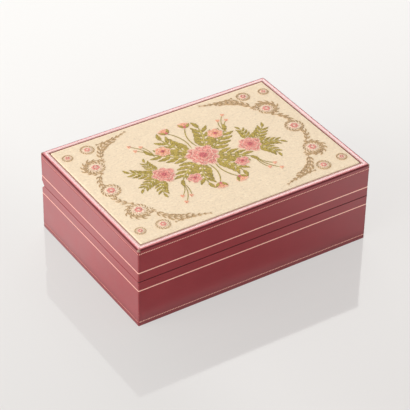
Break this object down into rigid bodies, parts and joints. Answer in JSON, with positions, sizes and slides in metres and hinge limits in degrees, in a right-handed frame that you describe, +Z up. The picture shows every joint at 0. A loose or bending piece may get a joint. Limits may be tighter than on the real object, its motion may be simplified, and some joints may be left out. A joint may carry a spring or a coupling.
{
  "type": "leather watch box",
  "caption": "Rectangular leather-covered box with a hinged lid, a padded brocade lid panel, and a lift-out tray and cushion that hold a watch.",
  "frame": {"origin": "the middle of the underside, on the surface that the closed box stands on", "axes": "+X along the hinge and the long sides, to the right as seen from the front; the front faces -Y and the hinge is at +Y; +Z up through the lid"},
  "size_m": [0.164, 0.115, 0.0571],
  "materials": {
    "burgundy_leather": "satin, finely grained, with gilt tooled lines",
    "case_wood": "plain sawn, covered",
    "green_felt": "matt felt",
    "cream_suede": "matt nap over card",
    "cream_velvet": "short pile velvet",
    "ivory_satin": "smooth satin",
    "backing_card": "plain card",
    "floral_brocade": "woven silk brocade with a floral pattern",
    "hinge_brass": "satin brass"
  },
  "bodies": {
    "base": {"base_front_wall": "case_wood", "base_back_wall": "case_wood", "base_left_wall": "case_wood", "base_right_wall": "case_wood", "base_floor_board": "case_wood", "base_leather_cover": "burgundy_leather", "underside_felt": "green_felt", "base_front_lining": "cream_suede", "base_back_lining": "cream_suede", "base_left_lining": "cream_suede", "base_right_lining": "cream_suede", "base_floor_pad": "cream_velvet", "left_tray_rest": "cream_suede", "right_tray_rest": "cream_suede", "left_hinge_base_leaf": "hinge_brass", "left_hinge_pin": "hinge_brass", "left_hinge_base_screw_1": "hinge_brass", "left_hinge_base_screw_2": "hinge_brass", "right_hinge_base_leaf": "hinge_brass", "right_hinge_pin": "hinge_brass", "right_hinge_base_screw_1": "hinge_brass", "right_hinge_base_screw_2": "hinge_brass"},
    "lid": {"lid_front_wall": "case_wood", "lid_back_wall": "case_wood", "lid_left_wall": "case_wood", "lid_right_wall": "case_wood", "lid_top_board": "case_wood", "lid_leather_cover": "burgundy_leather", "brocade_card": "backing_card", "brocade_panel": "floral_brocade", "lid_front_lining": "cream_suede", "lid_back_lining": "cream_suede", "lid_left_lining": "cream_suede", "lid_right_lining": "cream_suede", "lid_satin_panel": "ivory_satin", "left_hinge_lid_leaf": "hinge_brass", "left_hinge_lid_screw_1": "hinge_brass", "left_hinge_lid_screw_2": "hinge_brass", "right_hinge_lid_leaf": "hinge_brass", "right_hinge_lid_screw_1": "hinge_brass", "right_hinge_lid_screw_2": "hinge_brass"},
    "tray": {"insert_tray": "cream_velvet", "ribbon_tab": "ivory_satin"},
    "cushion": {"watch_cushion": "cream_velvet"}
  },
  "joints": [
    {"name": "lid_hinge", "type": "hinge", "parent": "base", "child": "lid", "pos_m": [0, 0.0545, 0.0329], "axis": [-1, 0, 0], "range_deg": [0, 95]},
    {"name": "tray_lift", "type": "slide", "parent": "base", "child": "tray", "axis": [0, 0, 1], "range_m": [0, 0.008]},
    {"name": "cushion_lift", "type": "slide", "parent": "base", "child": "cushion", "axis": [0, 0, 1], "range_m": [0, 0.0045]}
  ]
}
